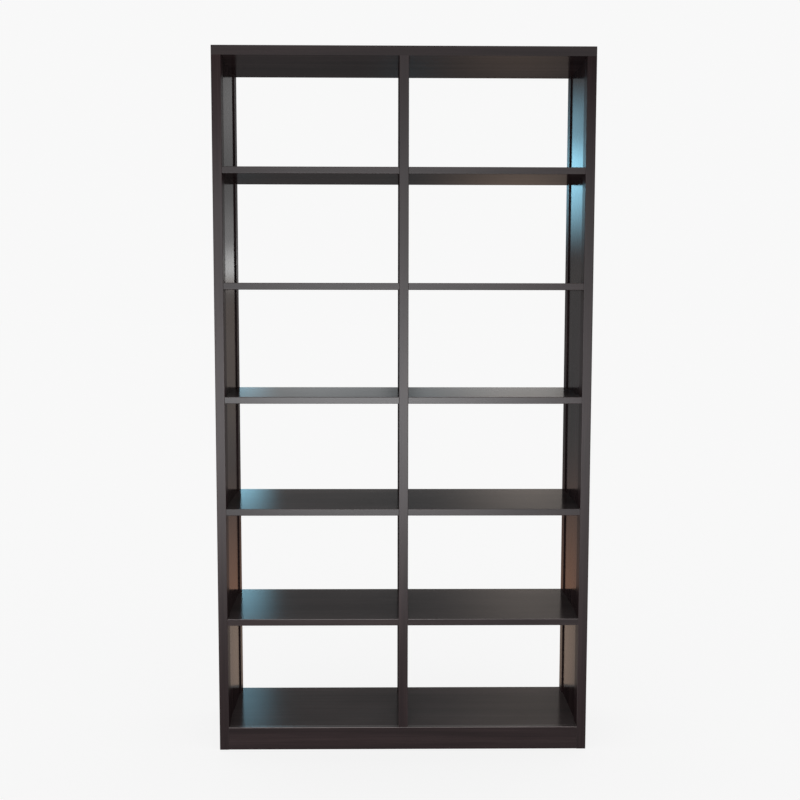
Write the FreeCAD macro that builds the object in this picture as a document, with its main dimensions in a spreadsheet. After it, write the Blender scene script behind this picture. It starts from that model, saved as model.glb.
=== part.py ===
import FreeCAD, Part
import os
import Sketcher

# An open-backed bookcase, two bays wide and six openings high, in millimetres.
# Three uprights carry it. Each has a front stile, a rear stile and a thinner panel tongued between
# the two, so that the panel's faces lie a few millimetres behind those of the stiles. The shelves
# are housed in the panels and notched round the stiles. A top board caps the uprights, and a bottom
# board lies in the rebate of a plinth.
# X runs to the right, Y to the back and Z up, with the origin on the floor under the middle.

SHELF_LEVELS = 5
UPRIGHTS = 3
GLUE_BLOCKS_PER_RAIL = 4
SAME_PLACE = 1e-6

SIZES = [
    ("unit_width", 1000, "outside width across the two side uprights"),
    ("unit_depth", 320, "depth from the front to the rear of the stiles"),
    ("unit_height", 1880, "height from the floor to the top of the top board"),
    ("stile_thickness", 25, "stile seen from the front"),
    ("stile_depth", 45, "stile seen from the side"),
    ("panel_thickness", 18, "upright panel between the stiles"),
    ("tongue_thickness", 8, "tongue along each long edge of an upright panel"),
    ("tongue_length", 8, "how far that tongue reaches into its stile"),
    ("housing_depth", 6, "how far a shelf end reaches into a panel"),
    ("top_thickness", 25, "top board"),
    ("shelf_thickness", 18, "shelves and bottom board"),
    ("shelf_setback", 1, "shelf front edges behind the stile fronts"),
    ("plinth_height", 62, "floor to the top of the bottom board"),
    ("plinth_thickness", 25, "front plinth"),
    ("rebate_depth", 10, "ledge behind the front plinth's upper edge"),
    ("rail_thickness", 18, "rear and middle plinth rails"),
    ("block_leg", 20, "glue block, along the plinth and along the bottom board"),
    ("block_length", 60, "glue block, along the plinth"),
    ("block_inset", 100, "side stile to the middle of the first glue block"),
    ("dowel_diameter", 8, "all dowels"),
    ("dowel_length", 40, "all dowels"),
    ("top_dowel_depth", 14, "dowel's share in the top board"),
    ("foot_dowel_depth", 11, "dowel's share in the bottom board"),
    ("stile_dowel_depth", 15, "plinth dowel's share in the stile"),
    ("dowel_play", 0.1, "glue room round a dowel"),
    ("dowel_end_gap", 0.5, "glue room past a dowel's end"),
    ("fit_gap", 0.2, "room at the ends and edges of housed boards"),
    ("arris_radius", 1.5, "rounded long edges"),
]

HALF_WIDTH = "Sizes.unit_width / 2"
HALF_DEPTH = "Sizes.unit_depth / 2"
HALF_STILE = "Sizes.stile_thickness / 2"
HALF_PANEL = "Sizes.panel_thickness / 2"
HALF_TONGUE = "Sizes.tongue_thickness / 2"
RECESS = f"({HALF_STILE} - {HALF_PANEL})"
UPRIGHT_PITCH = f"({HALF_WIDTH} - {HALF_STILE})"
UPRIGHT_TOP = "(Sizes.unit_height - Sizes.top_thickness)"
HALF_INNER_WIDTH = f"({HALF_WIDTH} - Sizes.stile_thickness)"
HALF_BAY = f"({HALF_INNER_WIDTH} - {HALF_STILE}) / 2"
BAY_CENTRE = f"({HALF_STILE} + {HALF_BAY})"
HOUSED_REACH = f"({RECESS} + Sizes.housing_depth - Sizes.fit_gap)"
PANEL_EDGE = f"({HALF_DEPTH} - Sizes.stile_depth)"
EAR_EDGE = f"({PANEL_EDGE} - Sizes.fit_gap)"
LEVEL_ROOM = f"({UPRIGHT_TOP} - Sizes.plinth_height + Sizes.shelf_thickness)"
LEVEL_PITCH = f"({LEVEL_ROOM} / {SHELF_LEVELS + 1})"
RAIL_HEIGHT = "(Sizes.plinth_height - Sizes.shelf_thickness)"
PLINTH_BACK = f"({HALF_DEPTH} - Sizes.plinth_thickness)"
RAIL_FRONT = f"({HALF_DEPTH} - Sizes.rail_thickness)"
HALF_RAIL_LENGTH = f"({HALF_INNER_WIDTH} - Sizes.fit_gap)"
LIP_THICKNESS = "(Sizes.plinth_thickness - Sizes.rebate_depth)"
SOLID_STILE_DEPTH = "(Sizes.stile_depth - Sizes.tongue_length - Sizes.fit_gap)"
END_DOWEL_INSET = f"(({LIP_THICKNESS} + {SOLID_STILE_DEPTH}) / 2)"
END_DOWEL_Y = f"({HALF_DEPTH} - {END_DOWEL_INSET})"
PLINTH_DOWEL_HEIGHTS = (f"{RAIL_HEIGHT} / 4", f"3 * {RAIL_HEIGHT} / 4")
HOLE_DIAMETER = "(Sizes.dowel_diameter + 2 * Sizes.dowel_play)"

doc = FreeCAD.newDocument("Bookcase")
parts = []


def make_sheet():
    sheet = doc.addObject("Spreadsheet::Sheet", "Sizes")
    for row, (alias, value, meaning) in enumerate(SIZES, start=1):
        sheet.set(f"A{row}", alias)
        sheet.set(f"B{row}", str(value))
        sheet.setAlias(f"B{row}", alias)
        sheet.set(f"C{row}", meaning)
    doc.recompute()


def new_part(label, x="0", y="0", z="0", half_turn=False):
    """Start a body at a place given by expressions, turned about its upright axis where asked."""
    body = doc.addObject("PartDesign::Body", label)
    body.Label = label
    turn = FreeCAD.Rotation(FreeCAD.Vector(0, 0, 1), 180 if half_turn else 0)
    body.Placement = FreeCAD.Placement(FreeCAD.Vector(0, 0, 0), turn)
    for axis, expression in zip("xyz", (x, y, z)):
        body.setExpression(f".Placement.Base.{axis}", expression)
    parts.append(body)
    return body


def origin_feature(body, role):
    return next(feature for feature in body.Origin.OriginFeatures if feature.Role == role)


def new_sketch(body, name, plane, offset="0"):
    """Start a sketch on one of the body's own planes, moved along that plane's normal."""
    sketch = body.newObject("Sketcher::SketchObject", name)
    sketch.AttachmentSupport = [(origin_feature(body, plane), "")]
    sketch.MapMode = "FlatFace"
    sketch.setExpression("AttachmentOffset.Base.z", offset)
    return sketch


def constrain(sketch, kind, expression, *geometry):
    value = sketch.evalExpression(expression)
    index = sketch.addConstraint(Sketcher.Constraint(kind, *geometry, value))
    sketch.setExpression(f"Constraints[{index}]", expression)


def hold_point(sketch, geometry, point, x, y):
    """Tie a sketch point to the sketch's origin by two expressions."""
    constrain(sketch, "DistanceX", x, -1, 1, geometry, point)
    constrain(sketch, "DistanceY", y, -1, 1, geometry, point)


def add_outline(sketch, corners):
    """Draw a closed outline of straight lines through corners given as pairs of expressions."""
    points = [FreeCAD.Vector(sketch.evalExpression(x), sketch.evalExpression(y), 0) for x, y in corners]
    lines = []
    for start, end in zip(points, points[1:] + points[:1]):
        lines.append(sketch.addGeometry(Part.LineSegment(start, end)))
    for line, following in zip(lines, lines[1:] + lines[:1]):
        sketch.addConstraint(Sketcher.Constraint("Coincident", line, 2, following, 1))
    for line, (x, y) in zip(lines, corners):
        hold_point(sketch, line, 1, x, y)


def add_rectangle(sketch, left, right, low, high):
    add_outline(sketch, [(left, low), (right, low), (right, high), (left, high)])


def add_circles(sketch, centres, diameter):
    for x, y in centres:
        centre = FreeCAD.Vector(sketch.evalExpression(x), sketch.evalExpression(y), 0)
        radius = sketch.evalExpression(diameter) / 2
        circle = sketch.addGeometry(Part.Circle(centre, FreeCAD.Vector(0, 0, 1), radius))
        hold_point(sketch, circle, 3, x, y)
        constrain(sketch, "Diameter", diameter, circle)


def finish_feature(body, feature):
    body.Tip = feature
    doc.recompute()
    return feature


def pad(body, sketch, length, both_ways=False):
    feature = body.newObject("PartDesign::Pad", f"{sketch.Name}Pad")
    feature.Profile = sketch
    feature.SideType = "Symmetric" if both_ways else "One side"
    feature.setExpression("Length", length)
    return finish_feature(body, feature)


def pocket(body, sketch, depth, along_normal=False):
    """Cut against the sketch's normal, or along it where asked, and make sure that something went."""
    volume = body.Shape.Volume
    feature = body.newObject("PartDesign::Pocket", f"{sketch.Name}Cut")
    feature.Profile = sketch
    feature.Reversed = along_normal
    feature.setExpression("Length", depth)
    finish_feature(body, feature)
    if body.Shape.Volume >= volume:
        raise RuntimeError(f"{body.Label}: {sketch.Name} cuts nothing")
    return feature


def row_of(body, feature, axis, pitch, count):
    pattern = body.newObject("PartDesign::LinearPattern", f"{feature.Name}Row")
    pattern.Originals = [feature]
    pattern.Direction = (origin_feature(body, axis), [""])
    pattern.Mode = "Spacing"
    pattern.setExpression("Offset", pitch)
    pattern.Occurrences = count
    return finish_feature(body, pattern)


def mirror_of(body, feature, plane):
    mirrored = body.newObject("PartDesign::Mirrored", f"{feature.Name}Mirrored")
    mirrored.Originals = [feature]
    mirrored.MirrorPlane = (origin_feature(body, plane), [""])
    return finish_feature(body, mirrored)


def round_arrises(body, wanted):
    """Round the edges of the body so far that pass the test."""
    base = body.Tip
    numbers = [n for n, edge in enumerate(base.Shape.Edges, start=1) if wanted(edge)]
    fillet = body.newObject("PartDesign::Fillet", "Arrises")
    fillet.Base = (base, [f"Edge{n}" for n in numbers])
    fillet.setExpression("Radius", "Sizes.arris_radius")
    return finish_feature(body, fillet)


def runs_along(edge, axis):
    box = edge.BoundBox
    spans = {"x": box.XLength, "y": box.YLength, "z": box.ZLength}
    return edge.Curve.TypeId == "Part::GeomLine" and max(spans, key=spans.get) == axis


def lies_at(edge, y):
    """Tell whether the whole edge lies at this depth."""
    return abs(edge.BoundBox.YMin - y) < SAME_PLACE and abs(edge.BoundBox.YMax - y) < SAME_PLACE


def make_stile(label, x, inward, front, stands_on_floor):
    """A stile with its outer edge at local -Y; inward is +1 or -1 towards the one bay of a side stile."""
    base = "0" if stands_on_floor else "Sizes.plinth_height"
    half_depth = "Sizes.stile_depth / 2"
    groove_floor = f"({SOLID_STILE_DEPTH} - {half_depth})"
    place_y = f"({HALF_DEPTH} - {half_depth})"
    body = new_part(label, x, f"-{place_y}" if front else place_y, base, half_turn=not front)
    length = f"{UPRIGHT_TOP} - {base}"

    section = new_sketch(body, "Section", "XY_Plane")
    add_outline(section, [
        (f"-{HALF_STILE}", f"-{half_depth}"),
        (HALF_STILE, f"-{half_depth}"),
        (HALF_STILE, half_depth),
        (HALF_TONGUE, half_depth),
        (HALF_TONGUE, groove_floor),
        (f"-{HALF_TONGUE}", groove_floor),
        (f"-{HALF_TONGUE}", half_depth),
        (f"-{HALF_STILE}", half_depth),
    ])
    pad(body, section, length)
    outer_edge = -body.evalExpression(half_depth)
    round_arrises(body, lambda edge: runs_along(edge, "z") and lies_at(edge, outer_edge))

    end_dowel = [("0", f"{END_DOWEL_INSET} - {half_depth}")]
    top_hole = new_sketch(body, "TopDowel", "XY_Plane", length)
    add_circles(top_hole, end_dowel, HOLE_DIAMETER)
    pocket(body, top_hole, "Sizes.dowel_length - Sizes.top_dowel_depth + Sizes.dowel_end_gap")

    if stands_on_floor:
        hole_side = inward if front else -inward
        rail = "Sizes.plinth_thickness" if front else "Sizes.rail_thickness"
        rail_middle = f"{rail} / 2 - {half_depth}"
        plinth_holes = new_sketch(body, "PlinthDowels", "YZ_Plane", f"{hole_side} * {HALF_STILE}")
        add_circles(plinth_holes, [(rail_middle, height) for height in PLINTH_DOWEL_HEIGHTS], HOLE_DIAMETER)
        pocket(body, plinth_holes, "Sizes.stile_dowel_depth + Sizes.dowel_end_gap", hole_side < 0)
    else:
        foot_hole = new_sketch(body, "FootDowel", "XY_Plane")
        add_circles(foot_hole, end_dowel, HOLE_DIAMETER)
        depth = "Sizes.dowel_length - Sizes.foot_dowel_depth + Sizes.dowel_end_gap"
        pocket(body, foot_hole, depth, along_normal=True)


def make_panel(label, x, housed_sides, stands_on_floor):
    """An upright's panel with a tongue on both long edges and a housing for each shelf on the given sides."""
    base = "0" if stands_on_floor else "Sizes.plinth_height"
    body = new_part(label, x, z=base)
    tongue_end = f"({PANEL_EDGE} + Sizes.tongue_length)"
    section = new_sketch(body, "Section", "XY_Plane")
    add_outline(section, [
        (f"-{HALF_PANEL}", f"-{PANEL_EDGE}"),
        (f"-{HALF_TONGUE}", f"-{PANEL_EDGE}"),
        (f"-{HALF_TONGUE}", f"-{tongue_end}"),
        (HALF_TONGUE, f"-{tongue_end}"),
        (HALF_TONGUE, f"-{PANEL_EDGE}"),
        (HALF_PANEL, f"-{PANEL_EDGE}"),
        (HALF_PANEL, PANEL_EDGE),
        (HALF_TONGUE, PANEL_EDGE),
        (HALF_TONGUE, tongue_end),
        (f"-{HALF_TONGUE}", tongue_end),
        (f"-{HALF_TONGUE}", PANEL_EDGE),
        (f"-{HALF_PANEL}", PANEL_EDGE),
    ])
    pad(body, section, f"{UPRIGHT_TOP} - {base}")

    first_level = "Sizes.plinth_height" if stands_on_floor else LEVEL_PITCH
    count = SHELF_LEVELS + 1 if stands_on_floor else SHELF_LEVELS
    for side in housed_sides:
        name = "HousingRight" if side > 0 else "HousingLeft"
        housing = new_sketch(body, name, "YZ_Plane", f"{side} * {HALF_PANEL}")
        low = f"{first_level} - Sizes.shelf_thickness"
        high = f"{first_level} + Sizes.fit_gap"
        add_rectangle(housing, f"-{PANEL_EDGE}", PANEL_EDGE, low, high)
        cut = pocket(body, housing, "Sizes.housing_depth", along_normal=side < 0)
        row_of(body, cut, "Z_Axis", LEVEL_PITCH, count)


def make_housed_board(label, x, z, half_clear, front_edge):
    """A board notched round the stiles at its corners, with long ears that reach into two panels."""
    body = new_part(label, x, z=z)
    narrow = f"({half_clear} - Sizes.fit_gap)"
    wide = f"({half_clear} + {HOUSED_REACH})"
    outline = new_sketch(body, "Outline", "XY_Plane")
    add_outline(outline, [
        (f"-{narrow}", f"-{front_edge}"),
        (narrow, f"-{front_edge}"),
        (narrow, f"-{EAR_EDGE}"),
        (wide, f"-{EAR_EDGE}"),
        (wide, EAR_EDGE),
        (narrow, EAR_EDGE),
        (narrow, HALF_DEPTH),
        (f"-{narrow}", HALF_DEPTH),
        (f"-{narrow}", EAR_EDGE),
        (f"-{wide}", EAR_EDGE),
        (f"-{wide}", f"-{EAR_EDGE}"),
        (f"-{narrow}", f"-{EAR_EDGE}"),
    ])
    pad(body, outline, "Sizes.shelf_thickness")
    return body


def make_shelf(label, side, level):
    front_edge = f"({HALF_DEPTH} - Sizes.shelf_setback)"
    underside = f"Sizes.plinth_height + {level} * {LEVEL_PITCH} - Sizes.shelf_thickness"
    body = make_housed_board(label, f"{side} * {BAY_CENTRE}", underside, HALF_BAY, front_edge)
    front = -body.evalExpression(front_edge)
    rear = body.evalExpression(HALF_DEPTH)
    round_arrises(body, lambda edge: runs_along(edge, "x") and (lies_at(edge, front) or lies_at(edge, rear)))


def make_bottom_board():
    front_edge = f"({PLINTH_BACK} + Sizes.rebate_depth - Sizes.fit_gap)"
    body = make_housed_board("bottom_board", "0", RAIL_HEIGHT, HALF_INNER_WIDTH, front_edge)
    foot_holes = new_sketch(body, "FootDowels", "XY_Plane", "Sizes.shelf_thickness")
    add_circles(foot_holes, [("0", f"-{END_DOWEL_Y}"), ("0", END_DOWEL_Y)], HOLE_DIAMETER)
    pocket(body, foot_holes, "Sizes.foot_dowel_depth + Sizes.dowel_end_gap")


def make_top_board():
    body = new_part("top_board", z=UPRIGHT_TOP)
    outline = new_sketch(body, "Outline", "XY_Plane")
    add_rectangle(outline, f"-{HALF_WIDTH}", HALF_WIDTH, f"-{HALF_DEPTH}", HALF_DEPTH)
    pad(body, outline, "Sizes.top_thickness")
    round_arrises(body, lambda edge: edge.BoundBox.ZMax > SAME_PLACE)
    holes = new_sketch(body, "Dowels", "XY_Plane")
    spots = [(f"-{UPRIGHT_PITCH}", f"-{END_DOWEL_Y}"), (f"-{UPRIGHT_PITCH}", END_DOWEL_Y)]
    add_circles(holes, spots, HOLE_DIAMETER)
    cut = pocket(body, holes, "Sizes.top_dowel_depth + Sizes.dowel_end_gap", along_normal=True)
    row_of(body, cut, "X_Axis", UPRIGHT_PITCH, UPRIGHTS)


def drill_rail_ends(body, middle):
    """Drill both ends of a plinth board for the dowels that hold it to the side stiles."""
    holes = new_sketch(body, "EndDowels", "YZ_Plane", HALF_RAIL_LENGTH)
    add_circles(holes, [(middle, height) for height in PLINTH_DOWEL_HEIGHTS], HOLE_DIAMETER)
    depth = "Sizes.dowel_length - Sizes.stile_dowel_depth - Sizes.fit_gap + Sizes.dowel_end_gap"
    cut = pocket(body, holes, depth)
    mirror_of(body, cut, "YZ_Plane")


def make_plinth_front():
    body = new_part("plinth_front")
    lip_back = f"({HALF_DEPTH} - {LIP_THICKNESS})"
    section = new_sketch(body, "Section", "YZ_Plane")
    add_outline(section, [
        (f"-{HALF_DEPTH}", "0"),
        (f"-{PLINTH_BACK}", "0"),
        (f"-{PLINTH_BACK}", RAIL_HEIGHT),
        (f"-{lip_back}", RAIL_HEIGHT),
        (f"-{lip_back}", "Sizes.plinth_height"),
        (f"-{HALF_DEPTH}", "Sizes.plinth_height"),
    ])
    pad(body, section, f"2 * {HALF_RAIL_LENGTH}", both_ways=True)
    front = -body.evalExpression(HALF_DEPTH)
    round_arrises(body, lambda edge: runs_along(edge, "x") and lies_at(edge, front))
    drill_rail_ends(body, f"Sizes.plinth_thickness / 2 - {HALF_DEPTH}")


def make_plinth_rear():
    body = new_part("plinth_rear")
    section = new_sketch(body, "Section", "YZ_Plane")
    add_rectangle(section, RAIL_FRONT, HALF_DEPTH, "0", RAIL_HEIGHT)
    pad(body, section, f"2 * {HALF_RAIL_LENGTH}", both_ways=True)
    drill_rail_ends(body, f"{HALF_DEPTH} - Sizes.rail_thickness / 2")


def make_plinth_centre():
    body = new_part("plinth_centre")
    half_rail = "Sizes.rail_thickness / 2"
    outline = new_sketch(body, "Outline", "XY_Plane")
    add_rectangle(outline, f"-{half_rail}", half_rail, f"-{PLINTH_BACK}", RAIL_FRONT)
    pad(body, outline, RAIL_HEIGHT)


def make_glue_blocks():
    """Three-cornered blocks in the angle between the bottom board and the front and rear plinth boards."""
    body = new_part("plinth_glue_blocks")
    half_row = f"({HALF_INNER_WIDTH} - Sizes.block_inset)"
    section = new_sketch(body, "Section", "YZ_Plane", f"-{half_row}")
    foot = f"{RAIL_HEIGHT} - Sizes.block_leg"
    for sign, wall in ((-1, PLINTH_BACK), (1, RAIL_FRONT)):
        against_wall = f"{sign} * {wall}"
        inner_end = f"{sign} * ({wall} - Sizes.block_leg)"
        add_outline(section, [(against_wall, RAIL_HEIGHT), (inner_end, RAIL_HEIGHT), (against_wall, foot)])
    blocks = pad(body, section, "Sizes.block_length", both_ways=True)
    row_of(body, blocks, "X_Axis", f"2 * {half_row} / {GLUE_BLOCKS_PER_RAIL - 1}", GLUE_BLOCKS_PER_RAIL)


def make_dowels(label, plane, start, centres):
    """Dowels that run along the plane's normal from a start distance."""
    body = new_part(label)
    section = new_sketch(body, "Section", plane, start)
    add_circles(section, centres, "Sizes.dowel_diameter")
    pad(body, section, "Sizes.dowel_length")
    return body


def make_top_dowels():
    start = f"{UPRIGHT_TOP} + Sizes.top_dowel_depth - Sizes.dowel_length"
    spots = [(f"-{UPRIGHT_PITCH}", f"-{END_DOWEL_Y}"), (f"-{UPRIGHT_PITCH}", END_DOWEL_Y)]
    body = make_dowels("top_dowels", "XY_Plane", start, spots)
    row_of(body, body.Tip, "X_Axis", UPRIGHT_PITCH, UPRIGHTS)


def make_foot_dowels():
    start = "Sizes.plinth_height - Sizes.foot_dowel_depth"
    make_dowels("divider_foot_dowels", "XY_Plane", start, [("0", f"-{END_DOWEL_Y}"), ("0", END_DOWEL_Y)])


def make_plinth_dowels():
    start = f"{HALF_INNER_WIDTH} + Sizes.stile_dowel_depth - Sizes.dowel_length"
    front = f"Sizes.plinth_thickness / 2 - {HALF_DEPTH}"
    rear = f"{HALF_DEPTH} - Sizes.rail_thickness / 2"
    spots = [(middle, height) for middle in (front, rear) for height in PLINTH_DOWEL_HEIGHTS]
    body = make_dowels("plinth_dowels", "YZ_Plane", start, spots)
    mirror_of(body, body.Tip, "YZ_Plane")


def make_uprights():
    for name, sign in (("left", -1), ("right", 1)):
        x = f"{sign} * {UPRIGHT_PITCH}"
        make_stile(f"stile_front_{name}", x, -sign, front=True, stands_on_floor=True)
        make_stile(f"stile_rear_{name}", x, -sign, front=False, stands_on_floor=True)
        make_panel(f"panel_{name}", x, [-sign], stands_on_floor=True)
    make_stile("stile_front_centre", "0", 0, front=True, stands_on_floor=False)
    make_stile("stile_rear_centre", "0", 0, front=False, stands_on_floor=False)
    make_panel("panel_centre", "0", [-1, 1], stands_on_floor=False)


def make_shelves():
    for name, sign in (("left", -1), ("right", 1)):
        for level in range(1, SHELF_LEVELS + 1):
            make_shelf(f"shelf_{name}_{level}", sign, level)


def check_document():
    doc.recompute()
    for item in doc.Objects:
        if "Invalid" in item.State or "Error" in item.State:
            raise RuntimeError(f"{item.Label} failed: {item.State}")
    for body in parts:
        if body.Shape.isNull() or not body.Shape.isValid():
            raise RuntimeError(f"{body.Label} has no valid shape")


def write_parts():
    os.makedirs("parts", exist_ok=True)
    for body in parts:
        body.Shape.exportStep(f"parts/{body.Label}.step")
        print(f"{body.Label}: {len(body.Shape.Solids)} solids, {body.Shape.Volume / 1000:.1f} cm3")


make_sheet()
make_uprights()
make_shelves()
make_top_board()
make_bottom_board()
make_plinth_front()
make_plinth_rear()
make_plinth_centre()
make_glue_blocks()
make_top_dowels()
make_foot_dowels()
make_plinth_dowels()
check_document()
write_parts()
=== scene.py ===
import math
from typing import NamedTuple

import bpy
from mathutils import Matrix, Vector

# The camera of the photograph, in metres, degrees and millimetres.
CAMERA_PLACE = (-0.049, -3.214, 1.248)
CAMERA_PAN = 0.735
CAMERA_TILT = -5.39
CAMERA_ROLL = 0.091
CAMERA_LENS = 51.93
CAMERA_SENSOR = 36.0

# The studio. FLOOR_OWN_LIGHT is the share of the floor's shading that is its own glow.
PALE = (0.94, 0.94, 0.94)
FLOOR_REACH = 40.0
FLOOR_OWN_LIGHT = 0.75
WORLD_STRENGTH = 0.45

# The colours of the lamps.
NEUTRAL = (1.0, 1.0, 1.0)
DAYLIGHT = (0.97, 1.0, 1.02)
PALE_BLUE = (0.90, 0.97, 1.0)
COOL = (0.34, 0.77, 1.0)
MILD = (1.0, 0.85, 0.73)
PALE_WARM = (1.0, 0.68, 0.48)
WARM = (1.0, 0.38, 0.13)

# How bright a lamp is from edge to edge, as (share of its width or height, brightness) stops.
PEAKED = ((0.0, 0.0), (0.5, 1.0), (1.0, 0.0))
PLATEAU = ((0.0, 0.0), (0.2, 1.0), (0.8, 1.0), (1.0, 0.0))
FRONT_PROFILE = ((0.0, 0.3), (0.33, 1.0), (0.55, 0.45), (0.80, 0.25), (1.0, 0.0))
RIGHT_RIM_PROFILE = ((0.0, 0.0), (0.5, 1.0), (0.70, 0.36), (1.0, 0.0))
LEFT_RIM_PROFILE = ((0.0, 0.9), (0.48, 1.0), (1.0, 0.0))
CENTRE_RIM_PROFILE = (
    (0.0, 0.0), (0.16, 0.12), (0.42, 0.10), (0.482, 1.0),
    (0.55, 0.30), (0.66, 0.12), (0.86, 0.29), (1.0, 0.10),
)
LOW_RIM_PROFILE = ((0.0, 0.95), (0.1, 1.0), (1.0, 0.0))
FAR_GLEAM_PROFILE = ((0.0, 0.0), (0.2, 0.85), (0.44, 0.35), (0.62, 1.0), (0.80, 0.15), (1.0, 0.0))

# How a lamp's colour changes upward, as (share of its height, colour) stops.
UNTINTED = ((0.0, NEUTRAL), (1.0, NEUTRAL))
CENTRE_RIM_TINTS = ((0.38, PALE_WARM), (0.48, NEUTRAL))
LOW_RIM_TINTS = ((0.20, PALE_WARM), (0.36, WARM))

# How far lamps spread their light, in degrees, and what lamps of one kind share, in metres and watts.
OPEN_SPREAD = 180.0
RIM_SPREAD = 40.0
GLEAM_SPREAD = 24.0
FILL_SIZE = (2.4, 2.4)
FILL_WATTS = 120.0
SHELF_GLEAM_SIZE = (0.72, 0.12)

# A ZONE is a range of a noise, a FACING is a range of a part of the normal, and HEIGHTS are in metres.

# The black-brown stain, by how light the grain is, and how far pores and clouds change it.
STAIN_DARK = (0.011, 0.0066, 0.0070)
STAIN_MIDDLE = (0.0195, 0.0118, 0.0123)
STAIN_LIGHT = (0.032, 0.0205, 0.0205)
STAIN_STOPS = ((0.32, STAIN_DARK), (0.50, STAIN_MIDDLE), (0.70, STAIN_LIGHT))
FIGURE_SHARE = 0.6
STREAK_SHARE = 0.4
PORE_ZONE = (0.40, 0.30)
PORE_STAIN = 0.55
SHADE_ZONE = (0.30, 0.70)
SHADE = (0.82, 1.18)
STAIN_ROUGHNESS = (0.36, 0.50)
STAIN_BUMP = 0.35
STREAK_RELIEF = 0.4

# Dust lies in patches on faces that look up.
DUST = (0.110, 0.102, 0.098)
DUST_ZONE = (0.25, 0.75)
DUST_COVER = (0.10, 0.30)
DUST_FACING = (0.8, 0.95)

# Arrises are lighter in patches, by height and by how far they look up: partly wear, partly a painted
# highlight.
WORN_STAIN_AND_HIGHLIGHT = (0.240, 0.205, 0.200)
WEAR_AND_HIGHLIGHT_HEIGHTS = (0.10, 0.80)
WEAR_AND_HIGHLIGHT_BY_HEIGHT = (0.9, 0.15)
WEAR_AND_HIGHLIGHT_ZONE = (0.35, 0.65)
WEAR_AND_HIGHLIGHT_PATCHES = (0.3, 1.0)
WEAR_AND_HIGHLIGHT_FACING = (0.1, 0.4)
WEAR_AND_HIGHLIGHT_BY_FACING = (0.15, 1.0)
ARRIS_WIDTH = 0.0025
ARRIS_SAMPLES = 6
ROUNDED_FACING = (0.985, 0.95)
BESIDE_LIKENESS = (0.995, 0.80)
BESIDE_WEAR_AND_HIGHLIGHT = (0.0, 0.25)

# The bare wood of hidden pieces, from dark to light rings.
SOFTWOOD = ((0.42, 0.27, 0.13), (0.62, 0.45, 0.26))
BEECH = ((0.46, 0.28, 0.16), (0.60, 0.40, 0.25))
RING_PLACES = (0.35, 0.65)
BARE_ROUGHNESS = (0.6, 0.8)
BARE_BUMP = 0.4

# What both kinds of wood share: the depth of their relief in metres, and the noise that roughens them.
RELIEF_DEPTH = 0.0002
ROUGHNESS_ZONE = (0.3, 0.7)

# Where the lacquer's reflection changes, and how strong it is on outer sides; undersides keep only a share of
# it, as painted shade.
FOOT_HEIGHTS = (0.12, 0.50)
HEAD_HEIGHTS = (1.47, 1.85)
FORWARD_FACING = (-0.9, -0.5)
EDGE_FACING = (0.5, 0.9)
OUTWARD_FACING = (0.2, 0.4)
DOWNWARD_FACING = (-0.9, -0.4)
OUTER_LACQUER = 0.45
UNDERSIDE_SHADE_SHARE = 0.48
LACQUER_IOR = 1.5

UPRIGHT_AXIS = 2
BOARD_AXIS = 0
SEED_STEP = (1.7, 2.3, 3.1)

# The sockets of a mix node that mixes colours.
MIX_FACTOR, MIX_FIRST, MIX_SECOND, MIX_RESULT = 0, 6, 7, 2


class Texture(NamedTuple):
    """A noise stretched along the grain, by how many features a metre holds along and across it."""
    along: float
    across: float
    offset: float = 0.0
    detail: float = 2.0
    roughness: float = 0.55
    distortion: float = 0.0


FIGURE = Texture(along=1.1, across=26.0, detail=3.0, distortion=0.6)
STREAKS = Texture(along=5.0, across=330.0, offset=0.37, detail=4.0, roughness=0.6)
PORES = Texture(along=42.0, across=1500.0, offset=0.71)
CLOUDS = Texture(along=2.2, across=3.4, offset=0.19)
RINGS = Texture(along=3.0, across=90.0, offset=5.0, detail=4.0, distortion=0.4)
FIBRES = Texture(along=40.0, across=1400.0, offset=6.0)


class Finish(NamedTuple):
    """How strongly the lacquer reflects on broad faces and on front and rear edges, and how rough it is.

    The shares are what edges keep of it where they look forward, near the floor and near the top, as painted
    shade there.
    """
    faces: float
    edges: float
    roughness: float
    forward_shade_share: float = 1.0
    foot_shade_share: float = 1.0
    head_shade_share: float = 1.0


# A board has the first finish whose name its own begins with, or else the plain one.
PLAIN_FINISH = Finish(faces=0.12, edges=0.60, roughness=0.17)
FINISHES = {
    "panel": Finish(faces=0.11, edges=0.40, roughness=0.16),
    # The shares below darken edges near the floor, near the top and on forward faces as painted shade.
    "stile_front_centre": Finish(faces=0.11, edges=0.55, roughness=0.30, foot_shade_share=0.5),
    "stile_front": Finish(faces=0.11, edges=0.55, roughness=0.30, foot_shade_share=0.5, head_shade_share=0.20),
    "stile_rear": Finish(faces=0.11, edges=0.55, roughness=0.30, foot_shade_share=0.5, forward_shade_share=0.08),
    "plinth": Finish(faces=0.27, edges=0.55, roughness=0.28, foot_shade_share=0.5),
}


def add_node(tree, kind, inputs=None, **settings):
    """Add a node, set its properties, and fill or link its inputs by name or number."""
    node = tree.nodes.new(kind)
    for key, value in settings.items():
        setattr(node, key, value)
    for key, value in (inputs or {}).items():
        if isinstance(value, bpy.types.NodeSocket):
            tree.links.new(value, node.inputs[key])
        else:
            node.inputs[key].default_value = value
    return node


def new_material(name):
    material = bpy.data.materials.new(name)
    material.use_nodes = True
    material.node_tree.nodes.clear()
    return material


def opaque(colour):
    return (*colour, 1.0)


def combine(tree, operation, first, *others):
    """Join values from left to right by one math operation."""
    for other in others:
        first = add_node(tree, "ShaderNodeMath", {0: first, 1: other}, operation=operation).outputs[0]
    return first


def absolute(tree, value):
    return add_node(tree, "ShaderNodeMath", {0: value}, operation="ABSOLUTE").outputs[0]


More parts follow.
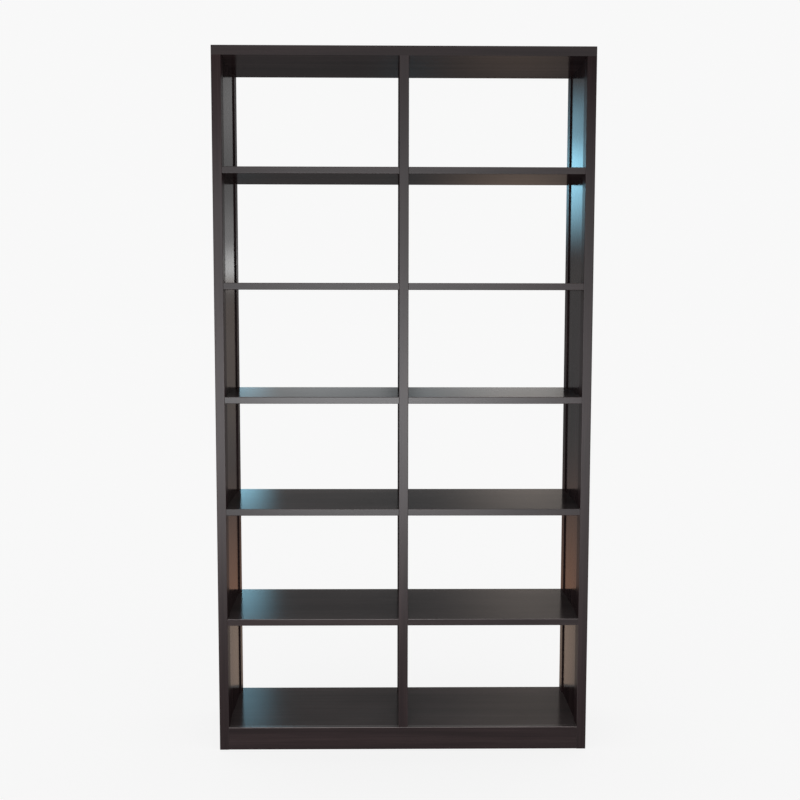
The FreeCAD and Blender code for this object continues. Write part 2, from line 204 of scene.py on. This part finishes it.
def span(tree, value, old, new=(0.0, 1.0)):
    """Map a value from an old range to a new one, and keep it inside the new one."""
    inputs = {"Value": value, "From Min": old[0], "From Max": old[1], "To Min": new[0], "To Max": new[1]}
    return add_node(tree, "ShaderNodeMapRange", inputs).outputs["Result"]


def ramp(tree, factor, stops, interpolation="LINEAR"):
    """A colour ramp through (place, colour) stops."""
    node = add_node(tree, "ShaderNodeValToRGB", {"Fac": factor})
    node.color_ramp.interpolation = interpolation
    elements = node.color_ramp.elements
    while len(elements) < len(stops):
        elements.new(0.5)
    for element, (place, colour) in zip(elements, stops):
        element.position = place
        element.color = opaque(colour)
    return node.outputs["Color"]


def mix_colours(tree, factor, first, second, blend="MIX"):
    inputs = {MIX_FACTOR: factor, MIX_FIRST: first, MIX_SECOND: second}
    return add_node(tree, "ShaderNodeMix", inputs, data_type="RGBA", blend_type=blend).outputs[MIX_RESULT]


def parts_of(tree, vector):
    return add_node(tree, "ShaderNodeSeparateXYZ", {0: vector}).outputs


def true_normal(tree):
    return add_node(tree, "ShaderNodeNewGeometry").outputs["True Normal"]


def board_place(tree):
    return add_node(tree, "ShaderNodeTexCoord").outputs["Object"]


def wood_noise(tree, texture, axis, seed=0.0):
    """A noise that runs long along the grain axis and differs from seed to seed."""
    scale = [texture.across] * 3
    scale[axis] = texture.along
    shift = [step * (seed + texture.offset) for step in SEED_STEP]
    mapping = add_node(tree, "ShaderNodeMapping", {
        "Vector": board_place(tree),
        "Location": shift,
        "Scale": scale,
    })
    noise = add_node(tree, "ShaderNodeTexNoise", {
        "Vector": mapping.outputs[0],
        "Scale": 1.0,
        "Detail": texture.detail,
        "Roughness": texture.roughness,
        "Distortion": texture.distortion,
    })
    return noise.outputs["Fac"]


def arris_mask(tree):
    """One on the rounded arrises, whose normals lie along no axis, and less on the flats beside them."""
    normal = true_normal(tree)
    parts = parts_of(tree, normal)
    longest = combine(tree, "MAXIMUM", *(absolute(tree, parts[axis]) for axis in "XYZ"))
    rounded = span(tree, longest, ROUNDED_FACING)
    bevel = add_node(tree, "ShaderNodeBevel", {"Radius": ARRIS_WIDTH}, samples=ARRIS_SAMPLES)
    likeness = add_node(tree, "ShaderNodeVectorMath", {0: bevel.outputs["Normal"], 1: normal},
                        operation="DOT_PRODUCT")
    beside = span(tree, likeness.outputs["Value"], BESIDE_LIKENESS, BESIDE_WEAR_AND_HIGHLIGHT)
    return combine(tree, "MAXIMUM", rounded, beside)


def arris_wear_and_highlight(tree, clouds, upward):
    """Arrises are lighter most near the floor and where they look up: partly wear, partly a painted
    highlight.
    """
    by_height = span(tree, parts_of(tree, board_place(tree))["Z"], WEAR_AND_HIGHLIGHT_HEIGHTS, WEAR_AND_HIGHLIGHT_BY_HEIGHT)
    patches = span(tree, clouds, WEAR_AND_HIGHLIGHT_ZONE, WEAR_AND_HIGHLIGHT_PATCHES)
    by_facing = span(tree, upward, WEAR_AND_HIGHLIGHT_FACING, WEAR_AND_HIGHLIGHT_BY_FACING)
    wear_and_highlight = combine(tree, "MULTIPLY", by_height, patches, by_facing)
    return combine(tree, "MULTIPLY", arris_mask(tree), wear_and_highlight)


def lacquer_weight_and_shade(tree, finish):
    """The lacquer's weight: strong on edges; on some edges weaker near the floor, near the top or where they
    look forward, and weak on undersides, all as painted shade.
    """
    facing = parts_of(tree, true_normal(tree))
    place = parts_of(tree, board_place(tree))
    by_foot = span(tree, place["Z"], FOOT_HEIGHTS, (finish.edges * finish.foot_shade_share, finish.edges))
    by_head = span(tree, place["Z"], HEAD_HEIGHTS, (1.0, finish.head_shade_share))
    by_side = span(tree, facing["Y"], FORWARD_FACING, (finish.forward_shade_share, 1.0))
    edges = combine(tree, "MULTIPLY", by_foot, by_head, by_side)
    weight = span(tree, absolute(tree, facing["Y"]), EDGE_FACING, (finish.faces, edges))
    outward = combine(tree, "MULTIPLY", facing["X"], place["X"])
    weight = span(tree, outward, OUTWARD_FACING, (weight, OUTER_LACQUER))
    # Undersides reflect less: painted shade.
    underside = span(tree, facing["Z"], DOWNWARD_FACING, (UNDERSIDE_SHADE_SHARE, 1.0))
    return combine(tree, "MULTIPLY", weight, underside)


def add_surface(tree, relief, bump, inputs):
    """Close a material with a principled shader over a fine relief."""
    normal = add_node(tree, "ShaderNodeBump", {"Strength": bump, "Distance": RELIEF_DEPTH, "Height": relief})
    shader = add_node(tree, "ShaderNodeBsdfPrincipled", {**inputs, "Normal": normal.outputs["Normal"]})
    add_node(tree, "ShaderNodeOutputMaterial", {"Surface": shader.outputs[0]})


def stain_colour(tree, figure, streaks, pore_depth, clouds):
    """The stain with its grain, pores, clouds, dust, and worn arrises that also carry a painted highlight."""
    shares = (
        combine(tree, "MULTIPLY", figure, FIGURE_SHARE),
        combine(tree, "MULTIPLY", streaks, STREAK_SHARE),
    )
    stain = ramp(tree, combine(tree, "ADD", *shares), STAIN_STOPS)
    stain = mix_colours(tree, combine(tree, "MULTIPLY", pore_depth, PORE_STAIN), stain, opaque(STAIN_DARK))
    stain = mix_colours(tree, 1.0, stain, span(tree, clouds, SHADE_ZONE, SHADE), blend="MULTIPLY")
    upward = parts_of(tree, true_normal(tree))["Z"]
    patches = span(tree, clouds, DUST_ZONE, DUST_COVER)
    dust = combine(tree, "MULTIPLY", patches, span(tree, upward, DUST_FACING))
    stain = mix_colours(tree, dust, stain, opaque(DUST))
    # The arrises take a lighter colour: partly wear, partly a painted highlight.
    return mix_colours(tree, arris_wear_and_highlight(tree, clouds, upward), stain, opaque(WORN_STAIN_AND_HIGHLIGHT))


def make_lacquer(name, axis, seed, finish):
    """Dark stained wood under a thin clear lacquer, with its grain along one axis."""
    material = new_material(name)
    tree = material.node_tree
    figure, streaks, pores, clouds = (
        wood_noise(tree, texture, axis, seed) for texture in (FIGURE, STREAKS, PORES, CLOUDS)
    )
    pore_depth = span(tree, pores, PORE_ZONE)
    relief = combine(tree, "SUBTRACT", combine(tree, "MULTIPLY", streaks, STREAK_RELIEF), pore_depth)
    add_surface(tree, relief, STAIN_BUMP, {
        "Base Color": stain_colour(tree, figure, streaks, pore_depth, clouds),
        "Roughness": span(tree, streaks, ROUGHNESS_ZONE, STAIN_ROUGHNESS),
        "Specular IOR Level": 0.0,
        # The coat's weight carries painted shade on undersides and on some edges.
        "Coat Weight": lacquer_weight_and_shade(tree, finish),
        "Coat Roughness": finish.roughness,
        "Coat IOR": LACQUER_IOR,
    })
    return material


def make_bare_wood(name, axis, colours):
    """Unfinished wood for the pieces that stay hidden."""
    material = new_material(name)
    tree = material.node_tree
    rings = wood_noise(tree, RINGS, axis)
    fibres = wood_noise(tree, FIBRES, axis)
    add_surface(tree, fibres, BARE_BUMP, {
        "Base Color": ramp(tree, rings, list(zip(RING_PLACES, colours))),
        "Roughness": span(tree, fibres, ROUGHNESS_ZONE, BARE_ROUGHNESS),
    })
    return material


def dress_nodes(nodes):
    """Give each lacquered board a grain of its own, and the hidden pieces bare wood."""
    softwood = make_bare_wood("plain_softwood", BOARD_AXIS, SOFTWOOD)
    beech = make_bare_wood("plain_beech", UPRIGHT_AXIS, BEECH)
    for seed, name in enumerate(sorted(nodes), start=1):
        if "dowels" in name:
            material = beech
        elif name in ("plinth_centre", "plinth_glue_blocks"):
            material = softwood
        else:
            axis = UPRIGHT_AXIS if name.startswith(("stile", "panel")) else BOARD_AXIS
            finish = next((FINISHES[kind] for kind in FINISHES if name.startswith(kind)), PLAIN_FINISH)
            material = make_lacquer(f"lacquer_{name}", axis, seed, finish)
        mesh = nodes[name].data
        mesh.materials.clear()
        mesh.materials.append(material)


def make_camera():
    data = bpy.data.cameras.new("photo_camera")
    data.sensor_width = CAMERA_SENSOR
    data.lens = CAMERA_LENS
    camera = bpy.data.objects.new("photo_camera", data)
    bpy.context.scene.collection.objects.link(camera)
    turn = Matrix.Rotation(-math.radians(CAMERA_PAN), 4, "Z")
    tip = Matrix.Rotation(math.radians(90.0 + CAMERA_TILT), 4, "X")
    roll = Matrix.Rotation(math.radians(CAMERA_ROLL), 4, "Z")
    camera.matrix_world = Matrix.Translation(CAMERA_PLACE) @ turn @ tip @ roll
    bpy.context.scene.camera = camera


def seen_directly(tree):
    """One for rays from the camera and for mirrored and transmitted rays, and nought for lighting."""
    path = add_node(tree, "ShaderNodeLightPath").outputs
    return combine(tree, "MAXIMUM", path["Is Camera Ray"], path["Is Glossy Ray"], path["Is Transmission Ray"])


def mix_shaders(tree, share, first, second):
    inputs = {0: share, 1: first.outputs[0], 2: second.outputs[0]}
    return add_node(tree, "ShaderNodeMixShader", inputs).outputs[0]


def make_world():
    """Even white lighting, and a pale background where the world itself is seen."""
    world = bpy.data.worlds.new("studio")
    bpy.context.scene.world = world
    world.use_nodes = True
    tree = world.node_tree
    tree.nodes.clear()
    lighting = add_node(tree, "ShaderNodeBackground", {"Color": opaque(NEUTRAL), "Strength": WORLD_STRENGTH})
    shown = add_node(tree, "ShaderNodeBackground", {"Color": opaque(PALE), "Strength": 1.0})
    mixed = mix_shaders(tree, seen_directly(tree), lighting, shown)
    add_node(tree, "ShaderNodeOutputWorld", {"Surface": mixed})


def make_floor():
    """A wide pale floor that keeps the object's shadow and is as pale as the background far from it."""
    mesh = bpy.data.meshes.new("floor")
    corners = [(x * FLOOR_REACH, y * FLOOR_REACH, 0) for x, y in ((-1, -1), (1, -1), (1, 1), (-1, 1))]
    mesh.from_pydata(corners, [], [(0, 1, 2, 3)])
    floor = bpy.data.objects.new("floor", mesh)
    bpy.context.scene.collection.objects.link(floor)
    material = new_material("pale_floor")
    tree = material.node_tree
    far_glow = [tone * (1 - (1 - FLOOR_OWN_LIGHT) * WORLD_STRENGTH) / FLOOR_OWN_LIGHT for tone in PALE]
    lit = add_node(tree, "ShaderNodeBsdfDiffuse", {"Color": opaque(PALE)})
    glow = add_node(tree, "ShaderNodeEmission", {"Color": opaque(far_glow), "Strength": 1.0})
    share = combine(tree, "MULTIPLY", seen_directly(tree), FLOOR_OWN_LIGHT)
    add_node(tree, "ShaderNodeOutputMaterial", {"Surface": mix_shaders(tree, share, lit, glow)})
    mesh.materials.append(material)
    return floor


def brightness(tree, place, profile):
    return ramp(tree, place, [(stop, (share,) * 3) for stop, share in profile], "EASE")


def grade_softbox(data, upward, across, tints):
    """Grade a softbox from its foot upward and across by profiles, and tint it upward."""
    data.use_nodes = True
    tree = data.node_tree
    tree.nodes.clear()
    parts = parts_of(tree, add_node(tree, "ShaderNodeNewGeometry").outputs["Parametric"])
    shares = (brightness(tree, parts["X"], across), brightness(tree, parts["Y"], upward))
    emission = add_node(tree, "ShaderNodeEmission", {
        "Color": ramp(tree, parts["Y"], tints, "EASE"),
        "Strength": combine(tree, "MULTIPLY", *shares),
    })
    add_node(tree, "ShaderNodeOutputLight", {"Surface": emission.outputs[0]})


def add_softbox(name, place, target, size, watts, colour=NEUTRAL, upward=PEAKED, across=PEAKED,
                tints=UNTINTED, spread=OPEN_SPREAD):
    """A graded lamp that is aimed from its place at a target and isn't seen by the camera."""
    data = bpy.data.lights.new(name, "AREA")
    data.shape = "RECTANGLE"
    data.size, data.size_y = size
    data.energy = watts
    data.color = colour
    data.spread = math.radians(spread)
    grade_softbox(data, upward, across, tints)
    light = bpy.data.objects.new(name, data)
    light.location = place
    light.rotation_euler = (Vector(target) - Vector(place)).to_track_quat("-Z", "Y").to_euler()
    light.visible_camera = False
    bpy.context.scene.collection.objects.link(light)
    return light


def add_rim(name, **settings):
    """A gridded softbox behind the bookcase, which shows only as a gleam on the boards it is aimed at."""
    return add_softbox(name, spread=RIM_SPREAD, **settings)


def add_shelf_gleam(name, **settings):
    """A low strip close behind one shelf that shows along its whole top."""
    return add_softbox(name, size=SHELF_GLEAM_SIZE, across=PLATEAU, spread=GLEAM_SPREAD, **settings)


def add_fill(name, place):
    """A large soft lamp that looks level at the bookcase and leaves no gleam."""
    light = add_softbox(name, place, target=(0, 0, place[2]), size=FILL_SIZE, watts=FILL_WATTS)
    light.visible_glossy = False
    return light


def make_lights(floor):
    """Broad soft lamps round the bookcase, and gridded ones behind it for the gleams on its boards."""
    lamps = [
        add_softbox("top_softbox", place=(0.0, 0.5, 3.8), target=(0, 0, 0.9), size=(2.4, 1.6), watts=60.0),
        add_softbox("front_softbox", place=(-0.15, -2.2, 1.12), target=(-0.15, 0.0, 1.12), size=(3.0, 2.2),
                    watts=176.0, colour=DAYLIGHT, upward=FRONT_PROFILE),
        add_fill("fill_left", place=(-3.4, 0.3, 1.3)),
        add_fill("fill_right", place=(3.4, 0.3, 1.3)),
        add_fill("fill_rear", place=(0.0, 3.4, 1.3)),
        add_rim("rim_right", place=(0.10, 2.5, 1.85), target=(0.60, 0, 1.58), size=(0.5, 0.9),
                watts=1.94, colour=COOL, upward=RIGHT_RIM_PROFILE),
        add_rim("rim_left", place=(-0.78, 2.5, 0.98), target=(-0.40, 0, 0.60), size=(0.45, 0.6),
                watts=0.74, colour=COOL, upward=LEFT_RIM_PROFILE),
        add_rim("rim_centre", place=(-0.14, 2.5, 1.40), target=(-1.00, 0, 1.30), size=(0.3, 2.2),
                watts=2.6, upward=CENTRE_RIM_PROFILE, tints=CENTRE_RIM_TINTS),
        add_shelf_gleam("gleam_left", place=(-0.31, 1.0, 1.06), target=(-0.25, 0, 0.97),
                        watts=0.020, colour=PALE_BLUE),
        add_shelf_gleam("gleam_right", place=(0.33, 1.0, 1.06), target=(0.24, 0, 0.97),
                        watts=0.0185, colour=PALE_BLUE),
        add_rim("gleam_far_right", place=(0.70, 2.5, 1.06), target=(0.37, 0, 0.52), size=(1.15, 0.5),
                watts=0.30, colour=MILD, upward=FAR_GLEAM_PROFILE),
        add_rim("gleam_brown", place=(0.605, 2.5, 1.31), target=(0.32, 0, 1.56), size=(1.15, 0.22),
                watts=0.19, colour=PALE_WARM),
    ]
    for side, name in ((-1, "rim_low_left"), (1, "rim_low_right")):
        lamps.append(add_rim(name, place=(side * 0.415, 0.4, 0.435), target=(side * 0.55, 0.0, 0.56),
                             size=(0.2, 0.85), watts=0.122, upward=LOW_RIM_PROFILE, tints=LOW_RIM_TINTS))
    keep_off(lamps, floor)


def keep_off(lamps, floor):
    """Let these lamps light the bookcase and not the floor, so that no pools of light lie around it."""
    unlit = bpy.data.collections.new("unlit_by_lamps")
    unlit.objects.link(floor)
    unlit.collection_objects[0].light_linking.link_state = "EXCLUDE"
    for lamp in lamps:
        lamp.light_linking.receiver_collection = unlit


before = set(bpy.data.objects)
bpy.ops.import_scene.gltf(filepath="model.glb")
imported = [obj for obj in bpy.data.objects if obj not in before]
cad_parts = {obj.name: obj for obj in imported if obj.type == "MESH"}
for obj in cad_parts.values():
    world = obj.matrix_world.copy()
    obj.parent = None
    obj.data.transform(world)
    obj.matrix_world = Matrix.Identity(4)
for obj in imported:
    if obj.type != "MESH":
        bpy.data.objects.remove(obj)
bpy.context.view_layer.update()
bpy.context.scene.view_settings.view_transform = "Standard"
make_camera()
make_world()
make_lights(make_floor())
dress_nodes(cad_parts)
